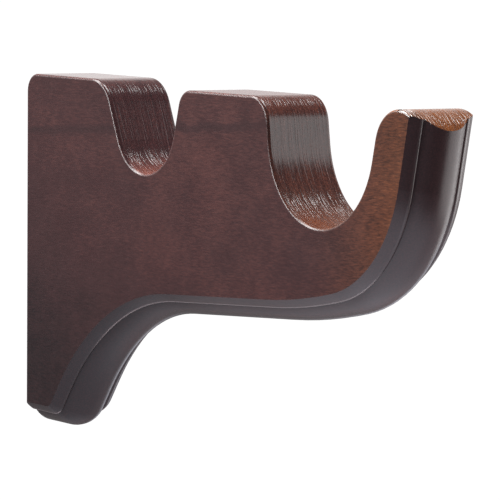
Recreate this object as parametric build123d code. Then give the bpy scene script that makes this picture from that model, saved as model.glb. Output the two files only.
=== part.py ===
"""Double curtain pole bracket, sawn from one board, with a moulding routed round its outer edge.

X runs out from the wall, Y along the poles and Z up. The origin is on the wall face, in the middle of the
board's thickness and about half way up the bracket. Lengths are in millimetres and angles in degrees.
"""
import os
from math import asin, atan2, cos, hypot, pi, radians, sin, tan

from build123d import *

# Board
thickness = 24.0
edge_ease = 1.0

# Poles and the cradles that they lie in
rear_pole_d = 35.0
front_pole_d = 57.0
pole_clearance = 0.5
rear_pole_x = 76.0
rear_pole_z = 46.0
pole_spacing = 103.0
front_pole_z = 44.3

# Tops of the rear block, the second block and the tip
rear_block_top = 59.2
second_block_top = 56.3
tip_top = 53.9
top_fall = 0.8
back_round = 6.0
rear_block_round = 12.5
second_back_round = 6.5
second_front_round = 9.5
tip_inner_round = 12.5
tip_outer_round = 15.0
tip_fall = 50.0

# How far each rounded corner stands back from the cradle beside it
rear_lead = 2.9
second_back_lead = 2.1
front_lead = 0.6

# Outer edge, from the foot on the wall to the front of the tip
foot_z = -52.5
foot_depth = 17.5
foot_drop = 1.3
nose_round = 3.5
leg_angle = 52.0
leg_straight = 9.7
under_rise = 1.9
belly_r = 250.0
belly_turn = 10.6
arm_depth = 16.7
bend_setback = 1.4
bend_drop = 4.1
front_lean = 13.5

# Moulding: a band along each face, with a small lip on its inner side, and a bead between the bands,
# measured across the edge and out from it
band_width = 4.0
band_height = 2.8
band_bulge = 0.2
lip_width = 0.6
lip_drop = 0.3
lip_round = 0.8
bead_height = 6.9

# Keyhole slots for two wall screws
mouth_d = 9.5
neck_d = 4.8
neck_depth = 5.0
keyhole_depth = 10.5
keyhole_travel = 12.0
upper_mouth_z = 28.0
screw_spacing = 64.0

# Derived sizes, and the allowances of the stock that is cut away
rear_seat_r = rear_pole_d / 2 + pole_clearance
front_seat_r = front_pole_d / 2 + pole_clearance
front_pole_x = rear_pole_x + pole_spacing
overrun = 20.0
moulding_lap = 2.0
stock_top = max(rear_block_top, second_block_top, tip_top) + overrun
stock_bottom = foot_z - foot_drop - bead_height - overrun
touching = 0.001


def point(x, z):
    """A point in the middle plane of the board."""
    return Vector(x, 0, z)


def ahead(heading):
    """Unit vector along a heading, which is an angle in radians up from the X axis."""
    return point(cos(heading), sin(heading))


def right_of(heading):
    """Unit vector square to a heading, on its right hand."""
    return point(sin(heading), -cos(heading))


def tangent_chain(first, circles, last):
    """Edges from one point to another, tangent round each circle (centre, radius) on the way.

    The chain turns left round a circle with a positive radius, and right round one with a negative radius.
    """
    stops = [(first, 0.0), *circles, (last, 0.0)]
    edges = []
    arrive = first
    heading_in = None
    for (centre, r), (next_centre, next_r) in zip(stops, stops[1:]):
        gap = next_centre - centre
        heading = atan2(gap.Z, gap.X) + asin(round((r - next_r) / gap.length, 9))
        leave = centre + right_of(heading) * r
        if heading_in is not None:
            turn = (heading - heading_in + pi) % (2 * pi) - pi
            halfway = centre + right_of(heading_in + turn / 2) * r
            edges.append(Edge.make_three_point_arc(arrive, halfway, leave))
        arrive = next_centre + right_of(heading) * next_r
        if (arrive - leave).length > touching:
            edges.append(Edge.make_line(leave, arrive))
        heading_in = heading
    return edges


def outer_edges():
    """The board's outer edge, under the moulding: foot, nose, leg, cove, underside, belly, bend and front.

    The cove rounds the corner between the leg, which leaves the nose, and the underside, which meets the
    belly.
    """
    leg = radians(leg_angle)
    rise = radians(under_rise)
    lean = radians(front_lean)
    nose = point(foot_depth - nose_round, foot_z - foot_drop + nose_round)
    bend = point(front_pole_x - bend_setback, front_pole_z - bend_drop)
    bend_r = front_seat_r + arm_depth
    belly = bend - right_of(radians(belly_turn)) * (belly_r - bend_r)
    leg_start = nose + right_of(leg) * nose_round
    under_end = belly + right_of(rise) * belly_r
    span = under_end - leg_start
    leg_length = (span.Z * cos(rise) - span.X * sin(rise)) / sin(leg - rise)
    cove_r = (leg_length - leg_straight) / tan((leg - rise) / 2)
    cove = leg_start + ahead(leg) * leg_straight + right_of(leg) * cove_r
    front_x = bend.X + bend_r / cos(lean) + (stock_top - bend.Z) * tan(lean)
    circles = [(nose, nose_round), (cove, -cove_r), (belly, belly_r), (bend, bend_r)]
    return tangent_chain(point(-overrun, foot_z), circles, point(front_x, stock_top))


def sawn_edges():
    """The edge that is sawn: up the wall face, over the blocks, through the cradles and over the tip."""
    slope = tan(radians(top_fall))
    fall = radians(-tip_fall)
    rear_corner_x = rear_pole_x - rear_seat_r - rear_block_round - rear_lead
    second_back_x = rear_pole_x + rear_seat_r + second_back_round + second_back_lead
    second_front_x = front_pole_x - front_seat_r - second_front_round - front_lead
    tip_x = front_pole_x + front_seat_r + tip_inner_round + front_lead
    rear_front_top = rear_block_top - rear_corner_x * slope
    second_front_top = second_block_top - (second_front_x - second_back_x) * slope
    tip_outer = point(tip_x, tip_top - tip_outer_round)
    circles = [
        (point(back_round, rear_block_top - back_round), -back_round),
        (point(rear_corner_x, rear_front_top - rear_block_round), -rear_block_round),
        (point(rear_pole_x, rear_pole_z), rear_seat_r),
        (point(second_back_x, second_block_top - second_back_round), -second_back_round),
        (point(second_front_x, second_front_top - second_front_round), -second_front_round),
        (point(front_pole_x, front_pole_z), front_seat_r),
        (point(tip_x, tip_top - tip_inner_round), -tip_inner_round),
        (tip_outer, -tip_outer_round),
    ]
    last = tip_outer - right_of(fall) * tip_outer_round + ahead(fall) * (arm_depth + bead_height + overrun)
    return tangent_chain(point(0, stock_bottom), circles, last)


def through_board(edges, *corners):
    """A solid through the whole thickness, bounded by a chain of edges and closed through some corners."""
    points = [edges[-1] @ 1, *corners, edges[0] @ 0]
    closing = [Edge.make_line(a, b) for a, b in zip(points, points[1:])]
    return extrude(Face(Wire(edges + closing)), thickness / 2, dir=(0, 1, 0), both=True)


def moulding_section(path):
    """The moulding's section, in a plane square to the start of the path: band, lip, bead, lip and band."""
    half = thickness / 2
    valley = half - band_width
    valley_n = band_height - lip_drop
    crest = valley + lip_width
    run = half - crest
    slant = hypot(run, band_height)
    crown_y = half - run / 2 + band_bulge * band_height / slant
    crown_n = band_height / 2 + band_bulge * run / slant
    plane = Plane(origin=path @ 0, x_dir=(0, -1, 0), z_dir=path % 0)
    section = Face(Wire([
        Edge.make_line((-half, -moulding_lap), (-half, 0)),
        Edge.make_three_point_arc((-half, 0), (-crown_y, crown_n), (-crest, band_height)),
        Edge.make_line((-crest, band_height), (-valley, valley_n)),
        Edge.make_three_point_arc((-valley, valley_n), (0, bead_height), (valley, valley_n)),
        Edge.make_line((valley, valley_n), (crest, band_height)),
        Edge.make_three_point_arc((crest, band_height), (crown_y, crown_n), (half, 0)),
        Edge.make_line((half, 0), (half, -moulding_lap)),
        Edge.make_line((half, -moulding_lap), (-half, -moulding_lap)),
    ]))
    crests = [corner for corner in section.vertices() if abs(abs(corner.X) - crest) < touching]
    return plane * section.fillet_2d(lip_round, crests)


def keyhole(mouth_z):
    """One keyhole slot: a screw's head goes in at the mouth, and its neck slides up the narrow slot."""
    slide = Pos(0, mouth_z + keyhole_travel / 2) * Rot(0, 0, 90)
    mouth = Plane.YZ * Pos(0, mouth_z) * Circle(mouth_d / 2)
    neck = Plane.YZ * slide * SlotCenterToCenter(keyhole_travel, neck_d)
    undercut = Plane.YZ.offset(neck_depth) * slide * SlotCenterToCenter(keyhole_travel, mouth_d)
    slot = extrude(mouth, keyhole_depth) + extrude(neck, keyhole_depth)
    return slot + extrude(undercut, keyhole_depth - neck_depth)


def eased(body, outline):
    """The body with the arrises along its sawn outline slightly rounded, on both faces."""
    half = thickness / 2
    arrises = []
    for edge in body.edges():
        middle = edge @ 0.5
        on_face = all(abs(abs(place.Y) - half) < touching for place in (edge @ 0, middle))
        on_outline = outline.distance_to(point(middle.X, middle.Z)) < touching
        if on_face and on_outline:
            arrises.append(edge)
    return fillet(arrises, edge_ease)


def bracket_body():
    """The whole bracket: moulded board, sawn to its outline, eased, with its keyholes."""
    path = Wire(outer_edges())
    board = through_board(outer_edges(), point(-overrun, stock_top))
    board = board + sweep(moulding_section(path), path=path)
    sawn = sawn_edges()
    waste_top = stock_top + overrun
    waste_back = -overrun * 2
    far_corner = point((sawn[-1] @ 1).X, waste_top)
    waste = through_board(sawn, far_corner, point(waste_back, waste_top), point(waste_back, stock_bottom))
    body = eased(board - waste, Wire(sawn))
    for mouth_z in (upper_mouth_z, upper_mouth_z - screw_spacing):
        body = body - keyhole(mouth_z)
    return body


os.makedirs("parts", exist_ok=True)
export_step(bracket_body(), "parts/bracket_body.step")
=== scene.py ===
"""Looks of the stained wood double curtain pole bracket: its wood, the studio round it and the camera.

The frame is the row's own: metres, X out from the wall, Y along the poles, Z up. The wood's figure is
worked out in millimetres, from the place on the bracket. A pair of numbers says where a change starts and
where it is complete.
"""

from math import cos, pi, radians, sin
from types import SimpleNamespace

import bpy
from mathutils import Matrix, Quaternion, Vector

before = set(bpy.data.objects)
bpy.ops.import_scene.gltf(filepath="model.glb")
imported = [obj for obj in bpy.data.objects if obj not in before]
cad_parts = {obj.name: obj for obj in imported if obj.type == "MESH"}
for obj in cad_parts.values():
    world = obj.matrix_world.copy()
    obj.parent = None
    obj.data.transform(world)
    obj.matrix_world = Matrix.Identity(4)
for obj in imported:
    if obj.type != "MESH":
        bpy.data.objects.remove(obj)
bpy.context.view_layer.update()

# Camera
view_azimuth = 56.78
view_elevation = 3.567
view_roll = 0.334
view_distance = 1.62436
view_target = Vector((0.12145, 0.0, 0.0051))
lens_mm = 361.9
sensor_mm = 36.0

# Room and backdrop, as light levels where 1 is white, and their edges as parts of a unit direction
white = (1, 1, 1, 1)
room_level = 0.18
dark_level = 0.14
dark_direction = (0.95, -0.10, 0.30)
dark_edge = (0.1, 0.7)
backdrop_level = 1.04
backdrop_edge = (0.50, 0.85)
backdrop_top = 0.63
backdrop_fade = 0.25

# Floor, with reaches in metres from the point of it below the bracket
floor_z = -0.60
floor_size = 30.0
floor_colour = (0.22, 0.20, 0.21, 1)
shadow_edge = (1.3, 0.2)
shadow_share = 0.3
close_level = 0.08
far_edge = (4.5, 8.0)

# Glow on the floor, which only reflections show: a broad patch and a spot
sheen_colour = (0.92, 0.95, 1.08, 1)
glow_level = 1.2
glow_centre = (0.30 - view_target.x, -0.2, 0.0)
glow_edge = (1.35, 0.60)
glow_front_x = (0.95, 0.55)
glow_wall_x = (-0.42, -0.18)
glow_wall_share = 0.48
glow_near_y = (0.45, -0.10)
glow_far_share = 0.60
glow_near_share = 1.3
spot_level = 0.85
spot_centre = (-0.97, 1.5, 0.0)
spot_edge = (0.95, 0.35)

# Places along the bracket, in millimetres out from the wall
wall_end_x = (45.0, 0.0)
rear_block_x = (80.0, 66.0)
foot_x = (130.0, 60.0)
heart_start_x = (60.0, 115.0)
heart_end_x = (175.0, 135.0)
front_x = (90.0, 140.0)
face_warm_x = (168.0, 224.0)
edge_warm_x = (110.0, 215.0)
tip_x = (196.0, 214.0)

# Places up the bracket, in millimetres
heart_z = (-20.0, 25.0)
lip_gloss_z = (5.0, 40.0)
upper_wall_z = (22.0, 40.0)
seat_z = (45.0, 35.0)
top_z = (45.0, 50.0)
open_grain_z = (68.0, 40.0)

# Places across the bracket, in millimetres from the middle of its thickness
near_half_y = (3.0, -3.0)
bead_y = (8.6, 8.0)
lip_y = 8.75
lip_edge = (0.60, 0.35)
shoulder_y = 8.6
shoulder_width = 2.8
shoulder_gloss_y = (8.6, 9.2)

# Darkening low on the faces, partly heavier stain and partly painted shade, and a thin dark band along
# them, in millimetres
low_slope = 0.45
low_edge = (-45.0, 45.0)
band_z = 39.8
band_rise = 0.044
band_waver = 4.0
band_edge = (2.2, 0.3)
band_end_x = (120.0, 170.0)

# Ways that the surface faces, as parts of its unit normal: to the sides, down, up and out from the wall
flat_turn = (0.80, 0.99)
arris_turn = (0.25, 0.60)
arris_limit = (0.995, 0.90)
open_grain_turn = (0.45, 0.10)
moulded_dip = (0.02, 0.10)
below_dip = (0.74, 0.86)
seat_rise = (0.60, 0.95)
corner_rise = (0.78, 0.90)
level_rise = (0.96, 0.995)
arris_front = (0.03, 0.25)
shoulder_front = (0.02, 0.12)
open_grain_steep = (-0.1, 0.4)
closed_grain_steep = (0.70, 0.95)
upright_steep = (0.86, 0.98)

# Figure of the wood, with the width of its wavering in millimetres
mm_per_metre = 1000.0
waver_y = 0.8
waver_z = 1.0
ridge_edge = (-0.07, 0.07)
pore_edge = (0.12, 0.24)

# Stain, from heavy and dark at tone 0 to thin and light at tone 1
middle_tone = 0.42
stain_stops = (
    (0.0, (0.015, 0.008, 0.010, 1)),
    (0.40, (0.058, 0.0205, 0.022, 1)),
    (0.70, (0.148, 0.049, 0.042, 1)),
    (1.0, (0.30, 0.105, 0.076, 1)),
)
orange_tint = (1.05, 0.93, 0.34, 1)
face_orange = 0.82
# Painted highlight along the lip of the moulding, strongest underneath
lip_highlight_colour = (0.50, 0.42, 0.43, 1)
lip_highlight_share = 0.03

# Lacquer
face_roughness = 0.34
edge_roughness = 0.22
tip_roughness = 0.17
top_roughness = 0.45
grazing_top_roughness = 0.24
moulding_roughness = 0.32
grazing_bead_roughness = 0.05
grazing_edge = (0.65, 0.95)
specular_level = 0.5
foot_specular_level = 0.25
wood_ior = 1.5
polish_ior = 2.0
polish_roughness = 0.2


class Tree:
    """A node tree that is filled from short calls."""

    def __init__(self, node_tree):
        self.nodes = node_tree.nodes
        self.links = node_tree.links
        self.nodes.clear()

    def node(self, kind, inputs=None, **settings):
        """A new node with some settings, and with its inputs set to values or linked to sockets."""
        made = self.nodes.new(kind)
        for name, value in settings.items():
            setattr(made, name, value)
        for name, value in (inputs or {}).items():
            if isinstance(value, bpy.types.NodeSocket):
                self.links.new(value, made.inputs[name])
            else:
                made.inputs[name].default_value = value
        return made

    def math(self, operation, *terms):
        """An operation on numbers and sockets."""
        return self.node("ShaderNodeMath", dict(enumerate(terms)), operation=operation).outputs[0]

    def product(self, first, *others):
        """The product of numbers and sockets."""
        running = first
        for other in others:
            running = self.math("MULTIPLY", running, other)
        return running

    def total(self, *terms):
        """The sum of several (weight, socket) pairs, where a weight is a number or a socket."""
        running = 0.0
        for weight, socket in terms:
            running = self.math("MULTIPLY_ADD", socket, weight, running)
        return running

    def rest(self, share):
        """What a share leaves of 1."""
        return self.math("SUBTRACT", 1.0, share)

    def step(self, value, start, end):
        """0 before start, 1 after end and a smooth step between them."""
        inputs = {"Value": value, "From Min": start, "From Max": end}
        made = self.node("ShaderNodeMapRange", inputs, interpolation_type="SMOOTHSTEP")
        return made.outputs["Result"]

    def blend(self, share, first, second):
        """A number that goes from the first to the second."""
        inputs = {"Factor": share, "A": first, "B": second}
        return self.node("ShaderNodeMix", inputs).outputs["Result"]

    def colour(self, share, first, second, how="MIX"):
        """A colour that goes from the first to its mix with the second. Sockets 6, 7 and 2 hold colours."""
        inputs = {"Factor": share, 6: first, 7: second}
        return self.node("ShaderNodeMix", inputs, data_type="RGBA", blend_type=how).outputs[2]

    def vector(self, operation, *terms):
        """An operation on vectors and vector sockets that gives a vector."""
        return self.node("ShaderNodeVectorMath", dict(enumerate(terms)), operation=operation).outputs[0]

    def measure(self, operation, *terms):
        """An operation on vectors and vector sockets that gives a number."""
        made = self.node("ShaderNodeVectorMath", dict(enumerate(terms)), operation=operation)
        return made.outputs["Value"]

    def distance(self, place, point):
        """How far a place is from a point."""
        return self.measure("LENGTH", self.vector("SUBTRACT", place, point))

    def parts(self, vector):
        """The X, Y and Z of a vector."""
        return tuple(self.node("ShaderNodeSeparateXYZ", {"Vector": vector}).outputs)

    def noise(self, place, size, detail=1.0, roughness=0.5):
        """Noise from -0.5 to 0.5 whose features have that size along X, Y and Z."""
        inputs = {
            "Vector": self.vector("DIVIDE", place, size),
            "Scale": 1.0,
            "Detail": detail,
            "Roughness": roughness,
        }
        made = self.node("ShaderNodeTexNoise", inputs)
        return self.math("SUBTRACT", made.outputs["Fac"], 0.5)


def surface_of_bracket(tree):
    """A point's place, the way that it faces, and its share of each kind of surface.

    The kinds are the flat faces, the sawn edges and the moulding. The other shares lie within these.
    """
    surface = SimpleNamespace()
    coordinates = tree.node("ShaderNodeTexCoord")
    surface.place = tree.vector("MULTIPLY", coordinates.outputs["Object"], (mm_per_metre,) * 3)
    surface.x, surface.y, surface.z = tree.parts(surface.place)
    surface.facing_x, facing_y, surface.facing_z = tree.parts(coordinates.outputs["Normal"])
    surface.steep = tree.math("ABSOLUTE", surface.facing_x)
    surface.turned = tree.math("ABSOLUTE", facing_y)
    surface.off_middle = tree.math("ABSOLUTE", surface.y)
    dip = tree.product(surface.facing_z, -1.0)

    surface.flat = tree.step(surface.turned, *flat_turn)
    not_flat = tree.rest(surface.flat)
    surface.moulded = tree.product(tree.step(dip, *moulded_dip), not_flat)
    surface.not_moulded = tree.rest(surface.moulded)
    surface.sawn = tree.math("SUBTRACT", not_flat, surface.moulded)

    surface.below = tree.step(dip, *below_dip)
    surface.foot = tree.step(surface.x, *foot_x)
    surface.front = tree.step(surface.x, *front_x)
    surface.warmth = tree.step(surface.x, *face_warm_x)
    surface.tip = tree.step(surface.x, *tip_x)
    surface.near_tip = tree.product(surface.tip, tree.step(surface.y, *near_half_y))
    in_front = tree.step(surface.facing_x, *shoulder_front)
    surface.shoulder = tree.product(surface.near_tip, surface.sawn, in_front)
    from_lip = tree.math("ABSOLUTE", tree.math("SUBTRACT", surface.off_middle, lip_y))
    surface.lip = tree.product(surface.moulded, tree.step(from_lip, *lip_edge))
    return surface


def figure_of_wood(tree, place):
    """The figure of the wood, with sizes in millimetres. Most of it wavers a little."""
    waver = tree.node("ShaderNodeCombineXYZ", {
        "Y": tree.product(tree.noise(place, size=(60.0, 40.0, 50.0)), waver_y),
        "Z": tree.product(tree.noise(place, size=(7.0, 20.0, 9.0)), waver_z),
    })
    wavy = tree.vector("ADD", place, waver.outputs[0])
    wood = SimpleNamespace()
    wood.fibre = tree.noise(wavy, size=(2.8, 0.42, 0.42), detail=3.0, roughness=0.6)
    wood.lines = tree.noise(wavy, size=(14.0, 0.6, 14.0), detail=3.0, roughness=0.7)
    wood.nicks = tree.noise(wavy, size=(1.8, 0.55, 1.8))
    wood.grooves = tree.noise(wavy, size=(18.0, 0.65, 18.0))
    wood.ridges = tree.step(wood.grooves, *ridge_edge)
    wood.specks = tree.noise(place, size=(0.7, 0.7, 0.7))
    wood.blotch = tree.noise(wavy, size=(26.0, 40.0, 16.0), detail=3.0)
    wood.pores = tree.step(tree.noise(wavy, size=(4.0, 0.2, 0.2)), *pore_edge)
    wood.swell = tree.noise(place, size=(7.0, 7.0, 7.0))
    return wood


def dark_band(tree, surface, wood):
    """A thin dark band along the faces. It rises a little from the wall and fades at the front cradle."""
    height = tree.total((1.0, surface.z), (-band_rise, surface.x), (band_waver, wood.lines))
    off_band = tree.math("ABSOLUTE", tree.math("SUBTRACT", height, band_z))
    fading = tree.rest(tree.step(surface.x, *band_end_x))
    return tree.product(tree.step(off_band, *band_edge), fading)


def face_tone(tree, surface, wood):
    """How light the stain is on the faces: darkest at the foot and lightest at the front. The darkening low
    down is partly painted shade.
    """
    depth = tree.math("SUBTRACT", tree.product(surface.x, -low_slope), surface.z)
    heart = tree.product(
        tree.step(surface.x, *heart_start_x),
        tree.step(surface.x, *heart_end_x),
        tree.step(surface.z, *heart_z),
    )
    return tree.total(
        (0.05, heart),
        (-0.02, tree.step(surface.x, *wall_end_x)),
        (0.19, surface.warmth),
        # darker low on the faces: partly heavier stain, partly painted shade where less light falls
        (-0.32, tree.step(depth, *low_edge)),
        (-0.14, dark_band(tree, surface, wood)),
        (0.20, wood.blotch),
        (0.20, wood.lines),
        (tree.blend(surface.warmth, 0.45, 1.10), wood.fibre),
    )


def sawn_tone(tree, surface, wood):
    """How light the stain is on the sawn edges: dark on steep walls, and light on the seats and the tip.
    The rear notch's wall is darker still, a painted shade.
    """
    # steep walls take more stain as end grain; the rear notch's wall is darker still, a painted shade where
    # the second block shades it
    wall = tree.product(surface.steep, tree.blend(surface.front, -0.32, -0.25))
    seat = tree.product(tree.step(surface.facing_z, *seat_rise), tree.step(surface.z, *seat_z))
    upper_wall = tree.product(surface.front, tree.step(surface.z, *upper_wall_z))
    upright = tree.step(surface.steep, *upright_steep)
    return tree.total(
        (1.0, wall),
        (tree.blend(surface.front, 0.26, 0.12), seat),
        (0.25, wood.blotch),
        (0.40, wood.lines),
        (0.30, wood.grooves),
        (0.50, wood.specks),
        (0.25, wood.nicks),
        (tree.product(upper_wall, 0.13), surface.steep),
        (tree.product(surface.front, -0.15), upright),
        (0.28, surface.tip),
    )


def stain_tone(tree, surface, wood):
    """How light the stain is all over, with painted light on the moulding's underside."""
    tone = tree.total(
        (surface.flat, face_tone(tree, surface, wood)),
        (surface.sawn, sawn_tone(tree, surface, wood)),
        (0.20, surface.sawn),
        (-0.18, surface.moulded),
        (-0.10, wood.pores),
        (tree.product(surface.foot, -0.15), surface.moulded),
        (tree.product(surface.moulded, 0.8), wood.fibre),
        # the moulding is lighter underneath: painted light reflected up from the floor
        (tree.product(surface.below, 0.18), surface.moulded),
    )
    return tree.math("ADD", tone, middle_tone)


def tone_ramp(tree, tone):
    """The stain's colour at a tone."""
    ramp = tree.node("ShaderNodeValToRGB", {"Fac": tone})
    stops = ramp.color_ramp.elements
    while len(stops) < len(stain_stops):
        stops.new(1.0)
    for stop, (position, colour) in zip(stops, stain_stops):
        stop.position = position
        stop.color = colour
    return ramp.outputs["Color"]


def stain_colour(tree, surface, wood):
    """The stain, more orange to the front off the moulding, with a painted highlight along the lip,
    strongest underneath.
    """
    ramp = tone_ramp(tree, stain_tone(tree, surface, wood))
    on_faces = tree.product(surface.warmth, face_orange)
    orange = tree.blend(surface.sawn, on_faces, tree.step(surface.x, *edge_warm_x))
    orange = tree.product(orange, surface.not_moulded)
    stain = tree.colour(orange, ramp, orange_tint, how="MULTIPLY")
    # painted highlight along the lip, strongest on the underside
    lip_highlight = tree.product(surface.lip, tree.blend(surface.below, lip_highlight_share, 1.0))
    return tree.colour(lip_highlight, stain, lip_highlight_colour)


def lacquer_roughness(tree, surface, wood):
    """Lacquer that lies smooth on the moulding and lets the grain show through elsewhere."""
    grain = tree.total((0.12, wood.fibre), (0.10, wood.lines))
    grain = tree.product(grain, surface.not_moulded)
    facing = tree.node("ShaderNodeLayerWeight", {"Blend": 0.5}).outputs["Facing"]
    grazing = tree.step(facing, *grazing_edge)
    on_bead = tree.product(grazing, tree.step(surface.off_middle, *bead_y))
    on_moulding = tree.blend(on_bead, moulding_roughness, grazing_bead_roughness)
    level_top = tree.product(tree.step(surface.facing_z, *level_rise), tree.step(surface.z, *top_z))
    on_tops = tree.blend(grazing, top_roughness, grazing_top_roughness)
    on_edges = tree.blend(level_top, edge_roughness, on_tops)
    on_edges = tree.blend(surface.tip, on_edges, tip_roughness)
    on_board = tree.blend(surface.sawn, face_roughness, on_edges)
    return tree.math("ADD", grain, tree.blend(surface.moulded, on_board, on_moulding))


def grain_bump(tree, surface, wood):
    """Relief in millimetres: open grain on the sawn edges, fine grain, and the tip's rubbed shoulder."""
    closed = tree.step(surface.steep, *closed_grain_steep)
    open_grain = tree.product(
        tree.step(surface.steep, *open_grain_steep),
        tree.blend(closed, 1.0, 0.2),
        tree.step(surface.z, *open_grain_z),
    )
    open_grain = tree.math("MAXIMUM", open_grain, tree.product(surface.tip, 1.1))
    open_grain = tree.product(open_grain, surface.sawn, tree.step(surface.turned, *open_grain_turn))
    rubbed = tree.math("SUBTRACT", surface.off_middle, shoulder_y)
    rubbed = tree.math("MINIMUM", tree.math("MAXIMUM", rubbed, 0.0), shoulder_width)
    relief = tree.total(
        (tree.product(surface.shoulder, -0.9), rubbed),
        (tree.product(open_grain, 0.06), wood.ridges),
        (tree.product(open_grain, 0.18), wood.grooves),
        (tree.product(open_grain, 0.08), wood.nicks),
        (tree.product(surface.not_moulded, 0.012), wood.fibre),
        (-0.006, wood.pores),
        (tree.product(surface.moulded, 0.004), wood.specks),
        (0.03, wood.swell),
    )
    bump = tree.node("ShaderNodeBump", {"Strength": 1.0, "Distance": 1.0 / mm_per_metre, "Height": relief})
    return bump.outputs["Normal"]


def polished_places(tree, surface):
    """Where the lacquer is thick: the rear block's front corner, the arrises, the lip and the shoulder."""
    rear_corner = tree.product(
        tree.step(surface.facing_z, *corner_rise),
        tree.step(surface.z, *top_z),
        tree.step(surface.x, *rear_block_x),
    )
    arris = tree.product(
        tree.step(surface.turned, *arris_turn),
        tree.step(surface.turned, *arris_limit),
        surface.not_moulded,
        tree.step(surface.facing_x, *arris_front),
    )
    polish = tree.total(
        (tree.product(surface.sawn, 0.40), rear_corner),
        (arris, tree.blend(surface.near_tip, 0.10, 1.0)),
        (surface.lip, tree.product(tree.step(surface.z, *lip_gloss_z), 0.30)),
        (surface.shoulder, tree.step(surface.off_middle, *shoulder_gloss_y)),
    )
    return tree.math("MINIMUM", polish, 1.0)


def stained_wood(material):
    """Mahogany-stained wood under a thin lacquer.

    The fibres run along X. The growth lines lie parallel to the faces, so they show as fine lines round the
    sawn edges and as broad, soft bands on the faces.
    """
    material.use_nodes = True
    tree = Tree(material.node_tree)
    surface = surface_of_bracket(tree)
    wood = figure_of_wood(tree, surface.place)
    dull_foot = tree.product(surface.foot, surface.moulded)
    shader = tree.node("ShaderNodeBsdfPrincipled", {
        "Base Color": stain_colour(tree, surface, wood),
        "Roughness": lacquer_roughness(tree, surface, wood),
        "IOR": wood_ior,
        "Specular IOR Level": tree.blend(dull_foot, specular_level, foot_specular_level),
        "Normal": grain_bump(tree, surface, wood),
        "Coat Weight": polished_places(tree, surface),
        "Coat Roughness": polish_roughness,
        "Coat IOR": polish_ior,
    })
    tree.node("ShaderNodeOutputMaterial", {"Surface": shader.outputs[0]})


def behind_bracket(tree, direction):
    """1 where a direction points to the backdrop behind the bracket, and 0 elsewhere."""
    turn = radians(view_azimuth)
    unit = tree.vector("NORMALIZE", direction)
    away = tree.measure("DOT_PRODUCT", unit, (-sin(turn), cos(turn), 0))
    return tree.step(away, *backdrop_edge)


def mirrored_floor(tree, place, reach):
    """The floor's level in reflections: almost dark close by, and as the room and backdrop far away."""
    behind = behind_bracket(tree, place)
    close = tree.product(behind, close_level)
    far = tree.blend(behind, room_level, backdrop_level)
    return tree.blend(tree.step(reach, *far_edge), close, far)


def floor_glow(tree, place, mirrored):
    """The glow's level in reflections: a patch that is brightest on the bracket's near side, and a spot."""
    x, y = tree.parts(place)[:2]
    patch = tree.product(
        tree.step(tree.distance(place, glow_centre), *glow_edge),
        mirrored,
        tree.step(x, *glow_front_x),
        tree.blend(tree.step(x, *glow_wall_x), glow_wall_share, 1.0),
        tree.blend(tree.step(y, *glow_near_y), glow_far_share, glow_near_share),
        glow_level,
    )
    spot = tree.product(tree.step(tree.distance(place, spot_centre), *spot_edge), mirrored)
    return tree.math("MULTIPLY_ADD", spot, spot_level, patch)


def pale_floor():
    """Pale paper. It looks white from a distance and keeps the bracket's shadow near it."""
    material = bpy.data.materials.new("pale_floor")
    material.use_nodes = True
    tree = Tree(material.node_tree)
    place = tree.node("ShaderNodeTexCoord").outputs["Object"]
    rays = tree.node("ShaderNodeLightPath").outputs
    reach = tree.measure("LENGTH", place)
    shade = tree.product(tree.step(reach, *shadow_edge), shadow_share)
    seen = tree.product(tree.rest(shade), rays["Is Camera Ray"])
    mirrored = tree.product(mirrored_floor(tree, place, reach), rays["Is Glossy Ray"])
    plain = tree.node("ShaderNodeEmission", {"Color": white, "Strength": tree.math("ADD", seen, mirrored)})
    glow = floor_glow(tree, place, rays["Is Glossy Ray"])
    sheen = tree.node("ShaderNodeEmission", {"Color": sheen_colour, "Strength": glow})
    paper = tree.node("ShaderNodeBsdfDiffuse", {"Color": floor_colour})
    shining = tree.node("ShaderNodeAddShader", {0: plain.outputs[0], 1: sheen.outputs[0]})
    both = tree.node("ShaderNodeAddShader", {0: shining.outputs[0], 1: paper.outputs[0]})
    tree.node("ShaderNodeOutputMaterial", {"Surface": both.outputs[0]})
    return material


def make_floor():
    """A wide floor, well below the bracket, which hangs on its wall."""
    bpy.ops.mesh.primitive_plane_add(size=floor_size, location=(view_target.x, 0, floor_z))
    floor = bpy.context.object
    floor.name = "floor"
    floor.data.materials.append(pale_floor())


def make_world():
    """A white backdrop behind the bracket, and a dim room that is darkest out from the wall."""
    world = bpy.data.worlds.new("studio")
    bpy.context.scene.world = world
    world.use_nodes = True
    tree = Tree(world.node_tree)
    direction = tree.node("ShaderNodeTexCoord").outputs["Generated"]
    height = tree.parts(direction)[2]
    dark_side = tree.measure("DOT_PRODUCT", direction, dark_direction)
    room = tree.blend(tree.step(dark_side, *dark_edge), room_level, dark_level)
    low = tree.step(height, backdrop_top, backdrop_top - backdrop_fade)
    backdrop = tree.product(behind_bracket(tree, direction), low)
    level = tree.blend(backdrop, room, backdrop_level)
    rays = tree.node("ShaderNodeLightPath").outputs
    level = tree.math("MAXIMUM", level, rays["Is Camera Ray"])
    glow = tree.node("ShaderNodeBackground", {"Color": white, "Strength": level})
    tree.node("ShaderNodeOutputWorld", {"Surface": glow.outputs[0]})


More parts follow.
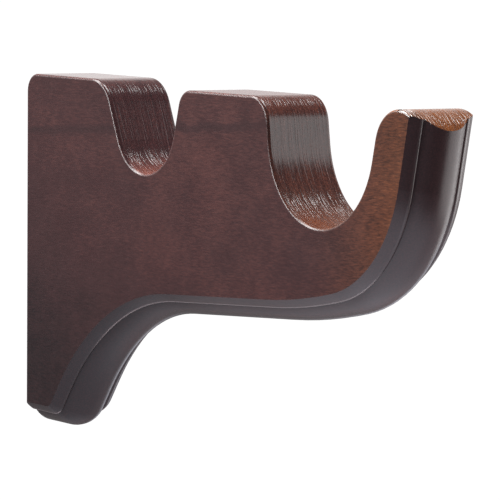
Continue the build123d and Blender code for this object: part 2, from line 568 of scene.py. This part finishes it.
def softbox(name, direction, distance, width, height, level, roll=0.0):
    """A rectangular lamp that faces the bracket from a direction. Its face has that light level."""
    lamp = bpy.data.lights.new(name, "AREA")
    lamp.shape = "RECTANGLE"
    lamp.size = width
    lamp.size_y = height
    lamp.energy = level * width * height * pi
    box = bpy.data.objects.new(name, lamp)
    away = Vector(direction).normalized()
    box.location = view_target + away * distance
    spin = Quaternion((0, 0, 1), radians(roll))
    box.rotation_euler = (away.to_track_quat("Z", "Y") @ spin).to_euler()
    box.visible_camera = False
    bpy.context.scene.collection.objects.link(box)


def make_lights():
    """Studio light: a long strip on the near side, two lamps above, and a wide and a small one opposite."""
    softbox("key", direction=(-0.496, -0.767, 0.407), distance=1.30,
            width=1.35, height=0.24, level=17.6, roll=-19.0)
    softbox("overhead", direction=(-0.03, 0.15, 0.99), distance=1.20,
            width=0.65, height=0.30, level=18.0)
    softbox("rim", direction=(-0.62, -0.28, 0.73), distance=1.20,
            width=0.50, height=0.50, level=9.0)
    softbox("right", direction=(0.57, 0.82, 0.03), distance=1.00,
            width=1.25, height=1.22, level=2.6, roll=12.0)
    softbox("low", direction=(-0.10, 0.95, -0.30), distance=1.00,
            width=0.42, height=0.42, level=1.9)


def make_camera():
    """The camera of the photograph."""
    azimuth, elevation, roll = (radians(angle) for angle in (view_azimuth, view_elevation, view_roll))
    level = Vector((cos(azimuth), sin(azimuth), 0))
    back = Vector((sin(azimuth) * cos(elevation), -cos(azimuth) * cos(elevation), sin(elevation)))
    upright = back.cross(level)
    right = level * cos(roll) + upright * sin(roll)
    up = upright * cos(roll) - level * sin(roll)
    data = bpy.data.cameras.new("camera")
    data.lens = lens_mm
    data.sensor_width = sensor_mm
    camera = bpy.data.objects.new("camera", data)
    spin = Matrix((right, up, back)).transposed().to_4x4()
    camera.matrix_world = Matrix.Translation(view_target + back * view_distance) @ spin
    bpy.context.scene.collection.objects.link(camera)
    bpy.context.scene.camera = camera


bpy.context.scene.view_settings.view_transform = "Standard"
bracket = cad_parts["bracket_body"]
stained_wood(bracket.data.materials[0])
make_floor()
make_world()
make_lights()
make_camera()
